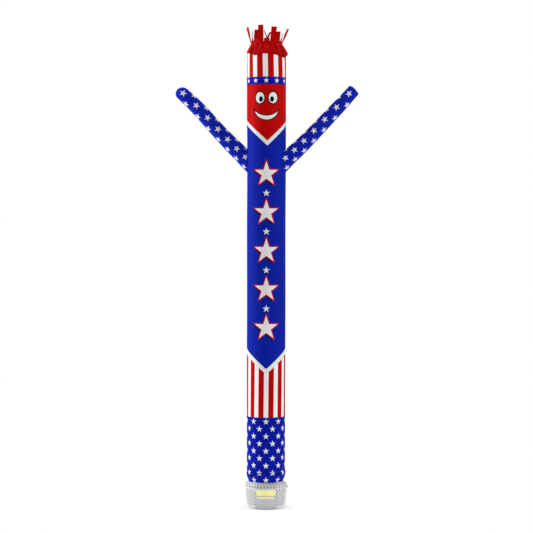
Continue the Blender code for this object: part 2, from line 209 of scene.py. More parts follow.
class Signal:
    """A value on its way through a finish's nodes; each operator adds the Math node that does it."""

    def __init__(self, tree, socket=None):
        self.tree = tree
        self.socket = socket

    def node(self, kind, settings, values, out=0):
        """Add a node: its settings first, then a number or a link for each of its sockets."""
        made = self.tree.nodes.new(kind)
        for key, value in settings.items():
            setattr(made, key, value)
        for key, value in values.items():
            if isinstance(value, Signal):
                self.tree.links.new(value.socket, made.inputs[key])
            else:
                made.inputs[key].default_value = value
        return Signal(self.tree, made.outputs[out])

    def maths(self, operation, *values, clamped=False):
        settings = {"operation": operation, "use_clamp": clamped}
        return self.node("ShaderNodeMath", settings, dict(enumerate(values)))

    def __add__(self, other):
        return self.maths("ADD", self, other)

    def __radd__(self, other):
        return self.maths("ADD", other, self)

    def __sub__(self, other):
        return self.maths("SUBTRACT", self, other)

    def __rsub__(self, other):
        return self.maths("SUBTRACT", other, self)

    def __mul__(self, other):
        return self.maths("MULTIPLY", self, other)

    def __rmul__(self, other):
        return self.maths("MULTIPLY", other, self)

    def __truediv__(self, other):
        return self.maths("DIVIDE", self, other)

    def __mod__(self, other):
        return self.maths("FLOORED_MODULO", self, other)

    def __abs__(self):
        return self.maths("ABSOLUTE", self)

    def root(self):
        return self.maths("SQRT", self)

    def sine(self):
        return self.maths("SINE", self)

    def cosine(self):
        return self.maths("COSINE", self)

    def rounded(self):
        return self.maths("ROUND", self)

    def clamped(self):
        return self.maths("ADD", self, 0.0, clamped=True)

    def either(self, other):
        return self.maths("MAXIMUM", self, other)

    def both(self, other):
        return self.maths("MINIMUM", self, other)

    def parts(self):
        """The three numbers of a vector."""
        return [self.node("ShaderNodeSeparateXYZ", {}, {0: self}, out) for out in range(3)]

    def mixed(self, first, second):
        """A colour that goes from the first to the second as this value goes from 0 to 1."""
        values = {0: self, 6: first, 7: second}
        settings = {"data_type": "RGBA", "clamp_factor": True}
        return self.node("ShaderNodeMix", settings, values, 2)

    def noise(self, size, detail=2.0, stretch=(1.0, 1.0, 1.0)):
        """Cloudy noise over a place in metres, whose lumps are about this size."""
        mapped = self.node("ShaderNodeVectorMath", {"operation": "MULTIPLY"}, {0: self, 1: stretch})
        values = {"Vector": mapped, "Scale": 1.0 / size, "Detail": detail}
        return self.node("ShaderNodeTexNoise", {}, values)


class Finish:
    """A material with one shader, and the places that its patterns are laid out on."""

    def __init__(self, name, constants):
        self.material = bpy.data.materials.new(name)
        self.material.use_nodes = True
        self.tree = self.material.node_tree
        self.shader = self.tree.nodes["Principled BSDF"]
        for key, value in constants.items():
            self.shader.inputs[key].default_value = value
        self.start = Signal(self.tree)
        self.place = self.start.node("ShaderNodeTexCoord", {}, {}, 3)

    def print_map(self, layer):
        """Across and up on the piece's own UV map."""
        return self.start.node("ShaderNodeUVMap", {"uv_map": layer}, {}).parts()[:2]

    def feeds(self, socket, signal):
        self.tree.links.new(signal.socket, self.shader.inputs[socket])

    def relief(self, layers):
        """Bump nodes in a row: each has a height, and how deep it is in metres."""
        values = {}
        for height, depth in layers:
            values.update({"Height": height, "Distance": depth, "Strength": 1.0})
            values["Normal"] = self.start.node("ShaderNodeBump", {}, values)
        self.feeds("Normal", values["Normal"])


BLUE_DYE = (0.0008, 0.0075, 0.325, 1.0)
WHITE_DYE = (0.89, 0.89, 0.88, 1.0)
PRINT_EDGE = 0.0016         # how far the ink blurs into the weave
THREAD_PITCH = 0.0014
THICK_THREAD_PITCH = 0.008


def nylon(name, colour, crumple=1.0):
    """Coated woven nylon. Its colour is a dye, or a print that works it out from the finish and its
    places across and up the cloth, over fine crossed threads with thicker ones among them. The more
    crumpled it is, the deeper its crinkles, and the darker the painted shade of its small hollows, laid
    on in patches of noise."""
    finish = Finish(name, {"Specular IOR Level": 0.035, "Sheen Weight": 0.004,
                           "Sheen Roughness": 0.45})
    finish.cloth = finish.print_map("cloth")
    across, up = finish.cloth
    colour = colour(finish) if callable(colour) else colour[:3]
    worn = finish.place.noise(0.34, 3.0)
    fleck = finish.place.noise(0.004, 1.0)
    crinkle = finish.place.noise(0.055, 3.0, (1.0, 1.0, 0.45))
    # Painted shade of small hollows: patches of noise that darken the cloth, more the more crumpled it
    # is; the tone also holds random flecks and wear.
    hollow_shade = (0.60 - finish.place.noise(0.024, 2.0)) * (1.1 * (crumple - 1.0))
    tone_and_shade = (0.97 + 0.06 * fleck) * (0.90 + 0.20 * worn) * (1.0 - hollow_shade.clamped())
    toned = {0: colour, "Scale": tone_and_shade}
    finish.feeds("Base Color", finish.start.node("ShaderNodeVectorMath", {"operation": "SCALE"}, toned))
    finish.feeds("Roughness", 0.50 + 0.16 * worn)
    turn = 2 * math.pi / THREAD_PITCH
    weave = (across * turn).sine() * (up * turn).sine()
    between_across, between_up = ((abs((way / THICK_THREAD_PITCH) % 1.0 - 0.5) * 16.0).clamped()
                                  for way in (across, up))
    thick = 1.0 - between_across.both(between_up)
    finish.relief([(crinkle, 0.0016 * crumple), (thick, 0.00006), (weave, 0.00002)])
    return finish.material


def reach(across, up):
    """How far a place is from the middle of its print."""
    return (across * across + up * up).root()


STAR_EDGE = math.radians(18)        # half of the angle at a star's tip


def star_distance(across, up):
    """How far a place is outside a five-pointed star, in tip radii: its bearing from the star's
    middle is folded into half of one point, and measured square to that point's straight edge."""
    fifth = 2 * math.pi / 5
    turn = across.maths("ARCTAN2", across, up)
    folded = abs((turn + fifth / 2) % fifth - fifth / 2)
    away = reach(across, up)
    sideways, outwards = away * folded.sine(), away * folded.cosine() - 1.0
    return sideways * math.cos(STAR_EDGE) + outwards * math.sin(STAR_EDGE)


def ink(distance, size, spread=0.0):
    """1 inside a print's edge and 0 outside, for a distance in units of this size in metres."""
    return (0.5 - (distance * size - spread) / PRINT_EDGE).clamped()


LEG_STARS = 9               # in each row around the tube
LEG_DYE = (0.0012, 0.0090, 0.365, 1.0)
# Painted shade of the leg's folds: the print goes darker towards a deep blue where the slack cloth dips
# in, most in the deepest folds.
FOLD_SHADE_BLUE = (0.0002, 0.0015, 0.060, 1.0)
FOLD_SHADE_SHARE = 0.70           # how far the deepest fold goes towards its blue
FULL_FOLD = 0.009           # the depth of cloth in a fold that counts as the deepest
LEG_STAR_RADIUS = 0.0400
LEG_STAR_ROW = 0.0873
LEG_STAR_TOP = 1.049


def leg_print(finish):
    """Rows of upright stars, every other row moved on by half a star's space, darkened by painted shade
    in the folds.
    """
    across, up = finish.cloth
    space = 2 * math.pi * PRINT_RADIUS / LEG_STARS
    row = ((up - LEG_STAR_TOP) / LEG_STAR_ROW).rounded()
    column = across / space + 0.5 * (row % 2.0)
    sideways = (column - column.rounded()) * (space / LEG_STAR_RADIUS)
    upwards = (up - LEG_STAR_TOP - row * LEG_STAR_ROW) / LEG_STAR_RADIUS
    colour = ink(star_distance(sideways, upwards), LEG_STAR_RADIUS).mixed(LEG_DYE, WHITE_DYE)
    return (finish.print_map("folds")[0] * FOLD_SHADE_SHARE).mixed(colour, FOLD_SHADE_BLUE)


bearings = np.linspace(-math.pi, math.pi, AROUND + 1)


def fold_shade(height, bearing):
    """Painted shade of the slack cloth's folds: how deep in a fold it is, its relief below the round,
    as a share of a full fold's."""
    return np.clip(-gathers(height, bearing) / FULL_FOLD, 0.0, 1.0)


def tube_panel(name, lower, upper, finish, spacing, shaded=False):
    """A panel of the tube between two seams, as one closed wall of cloth: its rows go up the outside
    and down the inside. A shaded one also has a map of the painted shade in its folds."""
    levels = seam_levels(lower(bearings), upper(bearings), spacing)
    to_seam = np.minimum(levels - lower(bearings), upper(bearings) - levels)
    outside = tube_point(levels, bearings, to_seam, 0.0)
    inside = tube_point(levels, bearings, to_seam, CLOTH)
    wall = np.concatenate([outside, inside[::-1]])[:, :-1]
    up = np.concatenate([levels, levels[::-1]])
    maps = {"cloth": [loop_corners(pair(bearings * PRINT_RADIUS, up), True)]}
    if shaded:
        maps["folds"] = [loop_corners(pair(fold_shade(up, bearings), 0.0), True)]
    return made_piece(name, wall, [loop_faces(len(wall), AROUND, True)], finish, maps)


def level(height):
    """A seam that runs level around the tube."""
    return lambda bearing: np.full_like(bearing, height)


leg_seam = level(LEG_TOP)
leg = tube_panel("leg_star_cloth", level(HEM_HEIGHT), leg_seam,
                 nylon("star_printed_nylon", leg_print, 1.7), spacing=0.0062, shaded=True)
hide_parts("leg_star_panel")

# STRIPED LEG PANEL
# The next panel up, sewn to the star panel: the same nylon, printed with twelve red upright
# stripes on white. Its upper edge is cut to a point at the front and at the back.
RED_DYE = (0.485, 0.0006, 0.0005, 1.0)
POINTED_SEAMS = (           # height of the tip, rise to the sides, turn in degrees
    (1.612, 0.240, 0.0),
    (1.675, 0.240, 0.0),
    (4.316, 0.260, 2.5),
    (4.377, 0.251, 2.5),
)


def pointed(tip, rise, turned_by):
    """A seam with a downward point at the front and at the back: its height climbs by a mix of
    the sine of the bearing from the point and of that bearing itself."""
    def height(bearing):
        turn = np.abs((bearing - math.radians(turned_by) + math.pi / 2) % math.pi - math.pi / 2)
        return tip + rise * (0.6 * np.sin(turn) + 0.4 * turn / (math.pi / 2))
    return height


STRIPE_SHARE = 0.550        # how much of each stripe's space is red
STRIPE_WHITE = (0.97, 0.97, 0.96, 1.0)
# count, bearing of a red one's middle in degrees, slant, level that the slant starts from, white
LEG_STRIPES = (12, 15.0, -0.006, 1.31, STRIPE_WHITE)
# The grey line down the middle of each white stripe is painted shade standing for a crease: its half
# width, how dark it goes, and its grey.
STRIPE_CREASE_SHADE = 0.0045      # half width of the crease in each white stripe
STRIPE_CREASE_SHADE_SHARE = 0.35
STRIPE_CREASE_SHADE_GREY = (0.50, 0.50, 0.50, 1.0)


def striped(count, red_middle, slant, slant_level, white):
    """A print of upright red stripes on white, with the painted shade of a thin crease in grey down
    each white one. The slant is in turns of the tube for each metre above its level."""
    def printed(finish):
        across, up = finish.cloth
        turns = across / (2 * math.pi * PRINT_RADIUS) - red_middle / 360 + slant * (up - slant_level)
        phase = abs((turns * count) % 1.0 - 0.5)
        width = 2 * math.pi * PRINT_RADIUS / count
        red = ink((1 - STRIPE_SHARE) / 2 - phase, width)
        crease_shade = (1.0 - phase * (width / STRIPE_CREASE_SHADE)).clamped()
        crease_shaded = (crease_shade * STRIPE_CREASE_SHADE_SHARE).mixed(white, STRIPE_CREASE_SHADE_GREY)
        return red.mixed(crease_shaded, RED_DYE)
    return printed


lower_seams = [pointed(*row) for row in POINTED_SEAMS[:2]]
stripes = tube_panel("stripe_cloth_panel", leg_seam, lower_seams[0],
                     nylon("stripe_printed_nylon", striped(*LEG_STRIPES)), spacing=0.030)
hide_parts("stripe_panel")

# LOWER WHITE CHEVRON
# A narrow white nylon band, sewn in between the stripes and the blue body, with the painted shade of
# two faint creases in grey along its middle.
# The bands' creases are painted shade: grey lines at these heights, with their half width, darkness and
# grey.
LOWER_CREASES = (-0.008, 0.010)     # each crease's height above the band's middle
UPPER_CREASES = (0.0,)
BAND_CREASE_SHADE = 0.0030                # half width of a crease
BAND_CREASE_SHADE_SHARE = 0.4
BAND_CREASE_SHADE_GREY = (0.46, 0.46, 0.47, 1.0)


def chevron_print(seams, offsets):
    """White nylon, with painted shade in grey lines along the band's middle, standing for creases."""
    (low_tip, low_rise, turned_by), (high_tip, high_rise, _) = seams

    def printed(finish):
        across, up = finish.cloth
        bearing = across / PRINT_RADIUS - math.radians(turned_by) + math.pi / 2
        turn = abs(bearing % math.pi - math.pi / 2)
        climb = turn.sine() * 0.6 + turn * (0.4 / (math.pi / 2))
        middle = (low_tip + high_tip) / 2 + climb * ((low_rise + high_rise) / 2)
        shade = None
        for offset in offsets:
            line = (1.0 - abs(up - middle - offset) / BAND_CREASE_SHADE).clamped()
            shade = shade.either(line) if shade else line
        return (shade * BAND_CREASE_SHADE_SHARE).mixed(WHITE_DYE, BAND_CREASE_SHADE_GREY)
    return printed


lower_white = nylon("white_nylon_lower", chevron_print(POINTED_SEAMS[:2], LOWER_CREASES))
chevron = tube_panel("lower_chevron_cloth", *lower_seams, lower_white, spacing=0.010)
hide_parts("lower_chevron")

# BODY PANEL
# The long dark blue panel that the sleeves are sewn to. A column of white stars, each with a thin
# red line around it and a black shadow, is printed down its front.
COLUMN_STARS = 5
COLUMN_STAR_RADIUS = 0.150
COLUMN_STAR_TOP = 3.985
COLUMN_STAR_PITCH = 0.456
SMALL_STAR_RADIUS = 0.046
OUTLINE = 0.013
TRIMMED_TIPS = 1.13         # where the outline's tips are cut off, in star radii
SHADOW_SHIFT = (-0.017, -0.015)
SHADOW_SPREAD = 0.004
BODY_DYE = (0.0030, 0.0160, 0.370, 1.0)
SHADOW_BLACK = (0.002, 0.003, 0.006, 1.0)


def column_print(finish):
    """Large stars at an even pitch, with a small plain one in each space between them."""
    across, up = finish.cloth
    steps = (COLUMN_STAR_TOP - up) / COLUMN_STAR_PITCH
    row = steps.rounded().both(COLUMN_STARS - 1.0).either(0.0)
    middle = COLUMN_STAR_TOP - row * COLUMN_STAR_PITCH
    gap = (steps - 0.5).rounded().both(COLUMN_STARS - 2.0).either(0.0)
    small_middle = COLUMN_STAR_TOP - (gap + 0.5) * COLUMN_STAR_PITCH

    def star(shift, radius, height):
        return star_distance((across - shift[0]) / radius, (up - shift[1] - height) / radius)

    front = star((0.0, 0.0), COLUMN_STAR_RADIUS, middle)
    behind = star(SHADOW_SHIFT, COLUMN_STAR_RADIUS, middle)
    near = ((COLUMN_STAR_RADIUS * TRIMMED_TIPS - reach(across, up - middle)) / PRINT_EDGE).clamped()
    colour = ink(behind, COLUMN_STAR_RADIUS, SHADOW_SPREAD).mixed(BODY_DYE, SHADOW_BLACK)
    colour = (ink(front, COLUMN_STAR_RADIUS, OUTLINE) * near).mixed(colour, RED_DYE)
    colour = ink(front, COLUMN_STAR_RADIUS).mixed(colour, WHITE_DYE)
    small = star((0.0, 0.0), SMALL_STAR_RADIUS, small_middle)
    return ink(small, SMALL_STAR_RADIUS).mixed(colour, WHITE_DYE)


upper_seams = [pointed(*row) for row in POINTED_SEAMS[2:]]
body = tube_panel("body_cloth", lower_seams[1], upper_seams[0],
                  nylon("body_nylon", column_print), spacing=0.034)
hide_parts("body_panel")

# UPPER WHITE CHEVRON
# A band like the lower one, sewn in under the face as a collar, with the painted shade of one faint
# crease. Its seams are turned a little to the right.
upper_white = nylon("white_nylon_upper", chevron_print(POINTED_SEAMS[2:], UPPER_CREASES))
collar = tube_panel("upper_chevron_cloth", *upper_seams, upper_white, spacing=0.010)
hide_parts("upper_chevron")

# FACE PANEL
# Red nylon between the collar and the hat band, with a plain round-eyed smile printed in black
# and white, the simplest that such a figure can have.
EYE_APART = 0.078           # from the middle to each eye
EYE_HEIGHT = 4.882
EYE_SIZE = (0.052, 0.066)   # half width and half height
PUPIL_SIZE = (0.024, 0.032)
PUPIL_SHIFT = (-0.012, -0.016)
FACE_LINE = 0.012           # width of the black line around each form
FACE_DYE = (0.540, 0.0008, 0.0006, 1.0)
# Middle height and radius of the circle that the smile lies in, and of the one cut out of it
SMILE_LOW = (4.775, 0.150)
SMILE_HIGH = (4.875, 0.205)


def face_print(finish):
    """Two upright ovals with dark middles, and a smile that is the space between two circles."""
    across, up = finish.cloth
    beside = abs(across) - EYE_APART

    def oval(size, shift):
        wide, tall = (beside - shift[0]) / size[0], (up - EYE_HEIGHT - shift[1]) / size[1]
        return (reach(wide, tall) - 1.0) * min(size)

    def circle(middle, radius):
        return reach(across, up - middle) - radius

    eye, pupil = oval(EYE_SIZE, (0.0, 0.0)), oval(PUPIL_SIZE, PUPIL_SHIFT)
    smile = circle(*SMILE_LOW).either(0.0 - circle(*SMILE_HIGH))
    black = ink(eye.both(smile), 1.0, FACE_LINE)
    white = ink(eye.either(0.0 - pupil).both(smile), 1.0)
    return white.mixed(black.mixed(FACE_DYE, SHADOW_BLACK), WHITE_DYE)


BAND_SEAMS = (5.042, 5.129)
face = tube_panel("face_cloth", upper_seams[1], level(BAND_SEAMS[0]),
                  nylon("face_nylon", face_print), spacing=0.022)
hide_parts("face_panel")

# HAT BAND
# A narrow blue nylon band between the face and the hat, with one row of eleven printed white
# stars.
BAND_STARS = 11
BAND_STAR_RADIUS = 0.034
BAND_STAR_HEIGHT = 5.0855
BAND_TURN = -1.0                    # bearing of the star at the front, in degrees


def band_print(finish):
    """One row of upright stars at an even pitch around the band."""
    across, up = finish.cloth
    space = 2 * math.pi * PRINT_RADIUS / BAND_STARS
    column = across / space - BAND_TURN / 360 * BAND_STARS
    sideways = (column - column.rounded()) * (space / BAND_STAR_RADIUS)
    upwards = (up - BAND_STAR_HEIGHT) / BAND_STAR_RADIUS
    return ink(star_distance(sideways, upwards), BAND_STAR_RADIUS).mixed(BLUE_DYE, WHITE_DYE)


band = tube_panel("hat_band_cloth", level(BAND_SEAMS[0]), level(BAND_SEAMS[1]),
                  nylon("band_nylon", band_print), spacing=0.012)
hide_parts("hat_band")

# STRIPED HAT PANEL
# Eleven red upright stripes on white nylon, a little aslant. Its top edge is pulled down here
# and there by the folds of the cap that is sewn over it.
HAT_STRIPES = (11, 12.6, 0.0145, 5.27, WHITE_DYE)
CAP_SEAM = 5.403
CAP_SEAM_FALL = 0.014
CAP_DROOPS = (              # bearing, half width, depth
    (-36, 16, 0.026), (58, 24, 0.026), (150, 16, 0.014), (-140, 14, 0.016),
)


def bells_around(bearing, table):
    """The sum of a table's bells around the tube, with their middles and half widths in degrees."""
    total = 0 * bearing
    for middle, half_width, most in table:
        away = (np.degrees(bearing) - middle + 180) % 360 - 180
        total = total + most * bell(away, half_width)
    return total


def cap_seam(bearing):
    """The seam under the cap: lower at the right by a sine, and a bell lower at each droop."""
    return CAP_SEAM - CAP_SEAM_FALL * np.sin(bearing) - bells_around(bearing, CAP_DROOPS)


hat = tube_panel("hat_stripe_cloth", level(BAND_SEAMS[1]), cap_seam,
                 nylon("hat_printed_nylon", striped(*HAT_STRIPES)), spacing=0.020)
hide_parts("hat_stripe_panel")

# GATHERED CAP
# Red nylon sewn on over the hat's top edge: the air bulges it out past its seam, and pleats and a
# few larger tucks draw it in to an open mouth.
CAP_AROUND = 480
CAP_ROWS = 46
CAP_RISE = 0.15             # height of the cap on its cloth map
MOUTH_HEIGHT = 5.531
MOUTH_RADIUS = 0.187
PLEATS = 16
CAP = (                     # share of height, radius, bulge to the right, pleat depth
    (0.00, 0.2312, 0.000, 0.000),
    (0.05, 0.2350, 0.004, 0.002),
    (0.12, 0.2390, 0.009, 0.004),
    (0.20, 0.2390, 0.010, 0.006),
    (0.40, 0.2245, 0.010, 0.009),
    (0.60, 0.2080, 0.008, 0.011),
    (0.80, 0.1930, 0.005, 0.010),
    (1.00, MOUTH_RADIUS, 0.000, 0.004),
)
TUCKS = (                   # bearing, half width, depth
    (-50, 7, 0.017), (-22, 5, 0.007), (22, 6, 0.008), (54, 6, 0.014), (75, 6, 0.017),
    (-118, 8, 0.012), (112, 7, 0.010), (146, 8, 0.012), (-160, 7, 0.010),
)


def tucks(share, bearing):
    """Depth of the cap's large tucks: bells of the bearing, deepest at a third of the height."""
    return bells_around(bearing, TUCKS) * np.sin(math.pi * share ** 0.63)


def pleats(share, bearing):
    """The cap's pleats, from -1 in their sharp inner creases to 1 on their round backs."""
    turn = PLEATS / 2 * bearing + 0.25 * np.sin(3 * bearing)
    return 2 * np.abs(np.cos(turn)) ** 0.7 - 1 + 0.35 * np.cos(5 * bearing + 0.8) + 0 * share


def cap_wall(share, bearing, inset):
    """The cap's cloth at a share of its height: the table's radius, more to the right by a sine,
    with its pleats and tucks, and finer creases towards the mouth."""
    shares, *columns = np.array(CAP).T
    radius, bulge, depth = (np.interp(share, shares, column) for column in columns)
    fine = np.cos(47 * bearing + 3 * share) + 0.6 * np.cos(29 * bearing - 4 * share)
    radius = radius + bulge * np.sin(bearing) + depth * (pleats(share, bearing) + 0.16 * fine)
    radius = radius - tucks(share, bearing) - inset
    low = cap_seam(bearing) + SEAM_GAP
    return around(radius, bearing, low + (MOUTH_HEIGHT - low) * share, LEAN)


cap_bearings = np.linspace(-math.pi, math.pi, CAP_AROUND + 1)
cap_shares = np.linspace(0.0, 1.0, CAP_ROWS)[:, None]
cap_points = np.concatenate([cap_wall(cap_shares, cap_bearings, 0.0),
                             cap_wall(cap_shares, cap_bearings, CLOTH)[::-1]])[:, :-1]
cap_up = np.concatenate([cap_shares, cap_shares[::-1]]) * CAP_RISE
cap_map = pair(cap_bearings * PRINT_RADIUS, cap_up)
# Painted shade of the cap: darker in the pleats' creases and in the tucks, and a painted shadow in a
# band just above the seam under the bulge.
cap_crease_shade = np.clip(-pleats(cap_shares, cap_bearings), 0.0, 1.0) * np.minimum(1.0, cap_shares * 2.5)
cap_overhang_shadow = bell(cap_shares, 0.09)
CREASE_SHADE, TUCK_SHADE, OVERHANG_SHADE = 0.30, 55.0, 0.40     # a tuck's is for each metre of depth
cap_shade = (CREASE_SHADE * cap_crease_shade + TUCK_SHADE * tucks(cap_shares, cap_bearings)
             + OVERHANG_SHADE * cap_overhang_shadow)
cap_shade = np.clip(np.concatenate([cap_shade, cap_shade[::-1]]), 0.0, 1.0)
CAP_RED = (0.475, 0.0005, 0.0004, 1.0)
CREASE_SHADE_RED = (0.11, 0.0002, 0.0002, 1.0)


def cap_colour(finish):
    """Red that goes darker with the painted shade in the folds."""
    return finish.print_map("folds")[0].mixed(CAP_RED, CREASE_SHADE_RED)


cap = made_piece("gathered_cap_cloth", cap_points, [loop_faces(len(cap_points), CAP_AROUND, True)],
                 nylon("cap_nylon", cap_colour, 1.25),
                 {"cloth": [loop_corners(cap_map, True)],
                  "folds": [loop_corners(pair(cap_shade, 0.0), True)]}, sharp=60.0)
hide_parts("gathered_cap")

# HAIR FRINGE
# Seventeen cut ribbons of the red nylon, whose roots are sewn to a narrow strip around the mouth.
# The air that leaves there lifts them, and each leans and twists its own way.
STRIP_HEIGHT = 0.012
STRIP_FOOT = 0.0003         # the strip starts this far above the cap
ROOT_LAP = 0.003            # a ribbon's root goes this far down behind the strip's top
RIBBON_WIDTH = 0.066
RIBBON_ROWS = 22
RIBBON_ACROSS = 6
RIBBON_LENGTH = 0.18        # on the cloth map
RIBBON_RED = (0.43, 0.0004, 0.0003, 1.0)
# From the front round by the right: height of the top, how far it leans outwards and sideways, and
# its twist in degrees
HAIR = (
    (5.592, 0.000, 0.002, 0.0), (5.725, 0.004, 0.023, 6.0), (5.670, 0.004, 0.006, 25.0),
    (5.664, 0.028, 0.000, -26.0), (5.712, 0.068, 0.000, 15.0), (5.640, 0.005, 0.000, 16.0),
    (5.668, -0.005, 0.000, 30.0), (5.662, 0.000, -0.004, -6.0), (5.715, 0.000, 0.062, 70.0),
    (5.698, 0.000, -0.081, 72.0), (5.680, 0.000, 0.006, 8.0), (5.676, -0.012, 0.000, -30.0),
    (5.644, -0.008, 0.000, -16.0), (5.731, 0.044, 0.000, -15.0), (5.683, 0.002, 0.000, 26.0),
    (5.691, 0.000, 0.017, -25.0), (5.745, 0.002, -0.003, -5.0),
)


def ribbon_walls(inset):
    """One side of every ribbon: its middle line leans straight out and sideways, its width turns
    about that line by the twist, and a small wave runs up it; side by side in the arrays."""
    top, outwards, sideways, twist = (column[:, None, None] for column in np.array(HAIR).T)
    bearing = (2 * math.pi * np.arange(len(HAIR)) / len(HAIR))[:, None, None]
    share = np.linspace(0.0, 1.0, RIBBON_ROWS)[None, :, None]
    across = np.linspace(-0.5, 0.5, RIBBON_ACROSS)[None, None, :] * RIBBON_WIDTH
    out = np.stack([np.sin(bearing), -np.cos(bearing), 0 * bearing], axis=-1)
    along = np.stack([np.cos(bearing), np.sin(bearing), 0 * bearing], axis=-1)
    turn = np.radians(twist) * np.minimum(1.0, share * 2)
    wave = 0.0030 * np.sin(5.2 * share + 2.4 * bearing + 30 * across) * share
    wave = wave + 0.0016 * np.sin(11 * share - 1.7 * bearing) * share
    cup = 0.0035 * (1 - (across / RIBBON_WIDTH * 2) ** 2) * share * np.cos(3 * bearing)
    foot = (MOUTH_RADIUS - 0.001 + outwards * share)[..., None] * out
    width = along * np.cos(turn)[..., None] + out * np.sin(turn)[..., None]
    through = out * np.cos(turn)[..., None] - along * np.sin(turn)[..., None]
    points = foot + (sideways * share)[..., None] * along + width * across[..., None]
    points = points + through * (wave + cup - inset)[..., None]
    root = MOUTH_HEIGHT + STRIP_HEIGHT - ROOT_LAP
    points[..., 2] += root + (top - root) * share
    points[..., 0] += LEAN * (points[..., 2] - CINCH_HEIGHT)
    return points


def slab_faces(count, rows, columns):
    """Corner numbers of a wall around each of several like grids: a front and a back, with their
    four edges joined."""
    side = rows * columns
    row, column = np.arange(rows - 1)[:, None], np.arange(columns - 1)[None, :]
    front = row * columns + column
    front = np.stack([front, front + 1, front + columns + 1, front + columns], axis=-1).reshape(-1, 4)
    back = front[:, ::-1] + side
    ends = np.concatenate([
        np.arange(columns),
        np.arange(1, rows) * columns + columns - 1,
        (rows - 1) * columns + np.arange(columns - 2, -1, -1),
        np.arange(rows - 2, 0, -1) * columns,
    ])
    onward = np.roll(ends, -1)
    edge = np.stack([onward, ends, ends + side, onward + side], axis=-1)
    one = np.concatenate([front, back, edge])
    return (np.arange(count) * 2 * side)[:, None, None] + one[None]


def combined(grids):
    """Several grids as one: their points one after another, and the corner numbers of each one's
    faces moved on by the points before it."""
    points = [grid.reshape(-1, 3) for grid, _ in grids]
    starts = np.cumsum([0] + [len(run) for run in points[:-1]])
    return np.concatenate(points), [faces + start for start, (_, faces) in zip(starts, grids)]


def turned(profile, bearing, low=0.0, lean=0.0):
    """A profile of radii and heights carried round the axis above a level, and leaned or not."""
    radius, height = (column[:, None] for column in np.array(profile).T)
    return around(radius, bearing, height + low, lean)


ribbon_points = np.stack([ribbon_walls(-CLOTH / 2), ribbon_walls(CLOTH / 2)], axis=1)
ribbon_corners = slab_faces(len(HAIR), RIBBON_ROWS, RIBBON_ACROSS)
ribbon_up = np.linspace(0.0, RIBBON_LENGTH, RIBBON_ROWS)[:, None]
ribbon_across = np.linspace(-0.5, 0.5, RIBBON_ACROSS)[None, :] * RIBBON_WIDTH
ribbon_map = np.broadcast_to(pair(ribbon_across, ribbon_up), ribbon_points.shape[:-1] + (2,))
ribbon_map = ribbon_map.reshape(-1, 2)[ribbon_corners.reshape(-1)]
outer_radius, inner_radius = MOUTH_RADIUS + 0.0008, MOUTH_RADIUS - 0.0022
STRIP = ((outer_radius, STRIP_FOOT), (outer_radius, STRIP_HEIGHT),
         (inner_radius, STRIP_HEIGHT), (inner_radius, STRIP_FOOT))
strip_points = turned(STRIP, cap_bearings[:-1], MOUTH_HEIGHT, LEAN)
hair_points, hair_faces = combined([(ribbon_points, ribbon_corners),
                                    (strip_points, loop_faces(len(STRIP), CAP_AROUND, True))])
strip_up = np.array([[0.0], [0.01], [0.01], [0.0]])
strip_map = loop_corners(pair(cap_bearings * PRINT_RADIUS, strip_up), True)
hair = made_piece("hair_fringe_cloth", hair_points, hair_faces, nylon("ribbon_nylon", RIBBON_RED),
                  {"cloth": [ribbon_map, strip_map]}, sharp=40.0)
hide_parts("hair_fringe")

# ARMS
# Two tapered sleeves of the star-printed nylon, closed at the hand, whose open ends are sewn to the
# body's sides. The points of their stars run towards the hand.
ARM_AROUND = 96
SLEEVE_SUNK = 0.004             # how far a sleeve's edge goes in under the tube's surface
SEAM_ROWS = (0.0, 0.003, 0.007, 0.012, 0.02, 0.03, 0.045)   # rows beside the seam, from its edge
FIRST_ROW, ROW_SPACING = 0.062, 0.018                       # the even rows further out
HAND_ROOM = 0.004               # between the last of them and the closing
END_ROWS = 15
SLANTED = 0.36                  # how far out the rows still slant as the seam does
# name, root, hand, radius at the shoulder and the hand, squareness of the hand, length of its end in
# hand radii, rises, bearing of the front row of stars
ARMS = (
    ("arm_left", (-0.2208, 0.055, 4.152), (-1.0595, 0.125, 5.0045), 0.0985, 0.0795, 2.0, 1.0,
     (0.0060, -0.0085, 0.0020), -81.0),
    ("arm_right", (0.2180, -0.047, 4.135), (1.0570, -0.105, 4.9930), 0.0970, 0.0745, 3.2, 0.45,
     (-0.0165, -0.0020, -0.0015), 81.0),
)
SLEEVE_DYE = (0.0050, 0.0170, 0.430, 1.0)
ARM_STAR_ROWS = 6
STAR_PITCH = 0.2341             # at the hand
STAR_PITCH_FALL = 0.0838        # for each metre from the hand
STAR_COUNT = (11.93, 2.794, -0.399)     # stars from the hand: -a ln(1 - distance / b) + c
FURTHEST = 1.6                  # from the hand, for the count's logarithm
SLEEVE_STAR_RADIUS = 0.0465     # at the hand
SLEEVE_STAR_FALL = 0.0040       # over the sleeve's length
SLEEVE_LENGTH = 1.2
MIDDLE_STAR_RADIUS = 0.044      # the one that the ink's edge is worked out from


